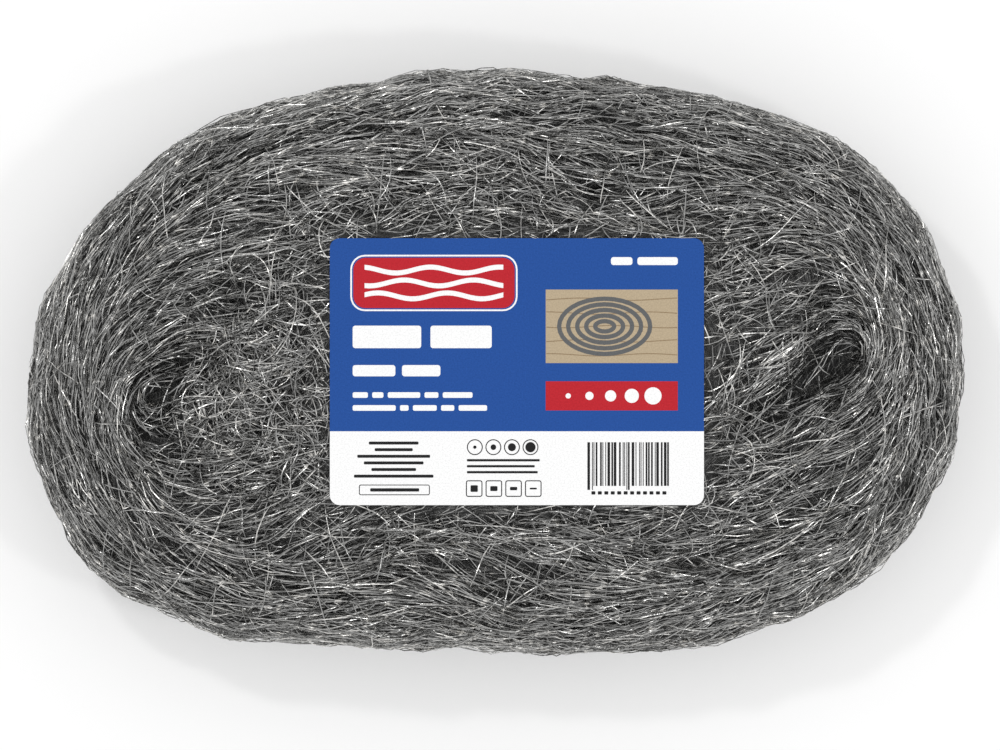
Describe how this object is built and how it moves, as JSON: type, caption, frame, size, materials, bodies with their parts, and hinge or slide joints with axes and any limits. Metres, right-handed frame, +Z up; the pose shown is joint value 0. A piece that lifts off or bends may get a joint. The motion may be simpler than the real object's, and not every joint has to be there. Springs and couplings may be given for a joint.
{
  "type": "steel wool bundle",
  "caption": "Flat oval coil of coarse grey steel wool lying on its face, with a thin printed label with rounded corners on top.",
  "frame": {"origin": "under the middle of the bundle, on the surface that it lies on", "axes": "+X along the oval's length, to the right of the upright label; +Y across it, towards the label's upper edge; +Z up, out of the labelled face"},
  "size_m": [0.2842, 0.177, 0.06],
  "materials": {
    "steel_wool": "coarse tangled steel strands, satin with bright glints",
    "label_face": "printed label, smooth satin"
  },
  "bodies": {
    "root": {"wool_coil": "steel_wool", "label": "label_face"}
  },
  "joints": []
}
